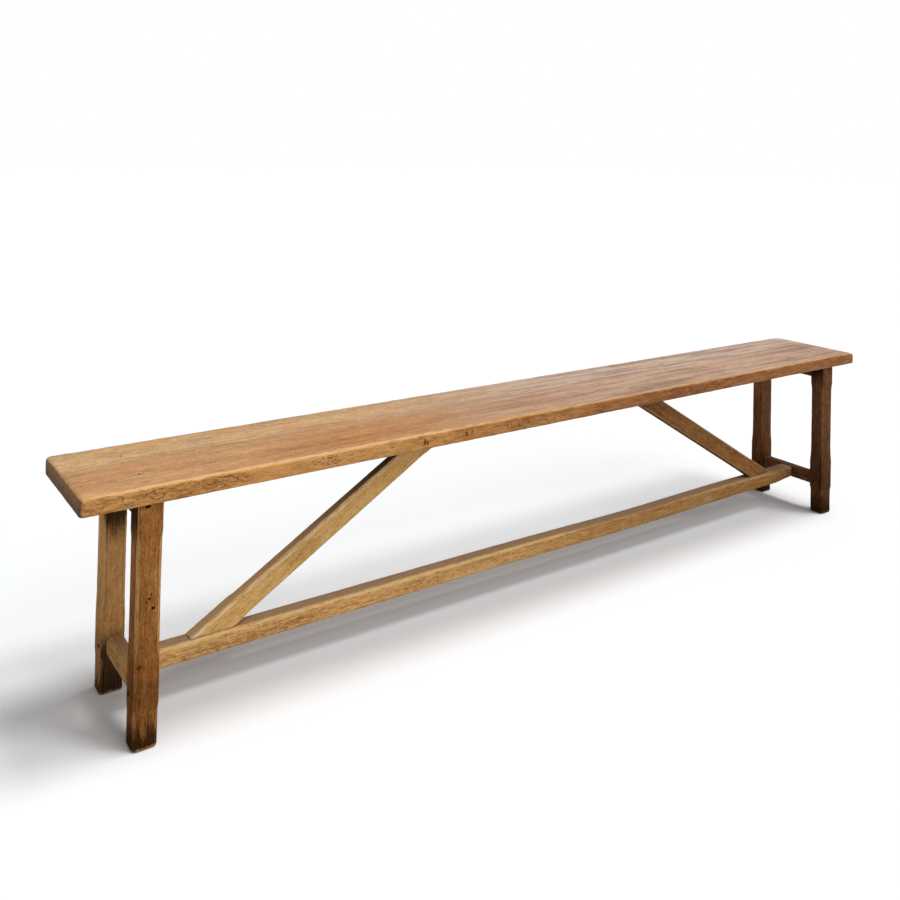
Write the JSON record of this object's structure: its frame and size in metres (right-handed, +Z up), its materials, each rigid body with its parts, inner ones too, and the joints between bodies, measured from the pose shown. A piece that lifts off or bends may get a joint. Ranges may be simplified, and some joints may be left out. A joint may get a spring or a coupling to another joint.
{
  "type": "bench",
  "caption": "Long narrow oak bench: plank seat on stop-chamfered legs, pegged end rails, a low stretcher and two long diagonal braces",
  "frame": {"origin": "on the floor, under the middle of the bench", "axes": "+X along the seat, from the left end to the right end; +Y from the front long side to the rear; +Z up"},
  "size_m": [2.276, 0.269, 0.47],
  "materials": {
    "oak_seat": "worn waxed oak, pinkish tan on the flat, yellower along the worn edge",
    "oak_frame": "waxed oak, golden brown, with pale worn corners",
    "oak_legs": "waxed oak, mid brown, stained dark at the feet",
    "oak_pegs": "dark end grain of small oak pegs",
    "iron_nails": "black forged iron"
  },
  "bodies": {
    "root": {"seat_plank": "oak_seat", "long_stretcher": "oak_frame", "top_rail_left": "oak_frame", "top_rail_right": "oak_frame", "low_rail_left": "oak_frame", "low_rail_right": "oak_frame", "brace_left": "oak_frame", "brace_right": "oak_frame", "leg_front_left": "oak_legs", "leg_rear_left": "oak_legs", "leg_front_right": "oak_legs", "leg_rear_right": "oak_legs", "top_peg_front_left": "oak_pegs", "top_peg_rear_left": "oak_pegs", "top_peg_front_right": "oak_pegs", "top_peg_rear_right": "oak_pegs", "low_peg_front_left": "oak_pegs", "low_peg_rear_left": "oak_pegs", "low_peg_front_right": "oak_pegs", "low_peg_rear_right": "oak_pegs", "stretcher_pin_left": "oak_pegs", "stretcher_pin_right": "oak_pegs", "seat_nail_front_left": "iron_nails", "seat_nail_rear_left": "iron_nails", "seat_nail_front_right": "iron_nails", "seat_nail_rear_right": "iron_nails"}
  },
  "joints": []
}
